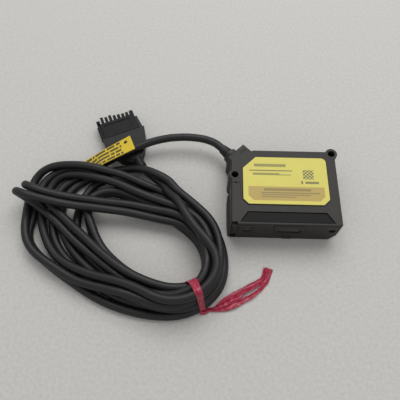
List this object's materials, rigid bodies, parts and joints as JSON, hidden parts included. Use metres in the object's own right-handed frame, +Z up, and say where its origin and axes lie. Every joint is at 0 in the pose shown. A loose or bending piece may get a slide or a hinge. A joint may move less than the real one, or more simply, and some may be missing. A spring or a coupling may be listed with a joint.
{
  "type": "laser displacement sensor head",
  "caption": "Compact laser sensor head in a dark two-part housing with a yellow label plate, angled lead outlet, coiled lead and moulded connector.",
  "frame": {"origin": "on the surface the head lies on, under the middle of the head's own box, without lead, connector, tag and tie", "axes": "+X to the right along the optical face, away from the lead outlet; +Y from the optical face to the back wall; +Z up through the label"},
  "size_m": [0.1582, 0.111, 0.019],
  "materials": {
    "case_moulding": "moulded, fine spark texture",
    "seal": "moulded",
    "optical_filter": "polished, dark red",
    "indicator": "clear, frosted",
    "label_film": "printed polyester film",
    "cast_frame": "die cast",
    "barrel": "turned",
    "diode_can": "plated",
    "lens": "polished",
    "circuit_board": "solder mask",
    "chip": "moulded",
    "flex_film": "film",
    "screw": "zinc plated",
    "gland": "moulded",
    "clamp": "crimped",
    "core_insulation": "extruded",
    "lead_jacket": "extruded, satin",
    "plug_moulding": "moulded",
    "hood_moulding": "overmoulded",
    "contact": "gold flashed",
    "tag_card": "film",
    "tie_film": "thin crumpled film"
  },
  "bodies": {
    "root": {"rear_case": "case_moulding", "front_cover": "case_moulding", "case_seal": "seal", "emitter_window": "optical_filter", "receiver_window": "optical_filter", "indicator_lens": "indicator", "label": "label_film", "optics_frame": "cast_frame", "laser_barrel": "barrel", "laser_diode": "diode_can", "collimator_lens": "lens", "receiver_lens": "lens", "imager_board": "circuit_board", "imager_chip": "chip", "main_board": "circuit_board", "board_chips": "chip", "flex_strip": "flex_film", "board_screws": "screw", "frame_screws": "screw", "cable_gland": "gland", "cable_clamp": "clamp", "core_wires": "core_insulation", "lead_out": "lead_jacket", "lead_coil": "lead_jacket", "lead_in": "lead_jacket", "plug_body": "plug_moulding", "plug_hood": "hood_moulding", "plug_contacts": "contact", "tag": "tag_card", "tie_band": "tie_film", "tie_tail": "tie_film"}
  },
  "joints": []
}
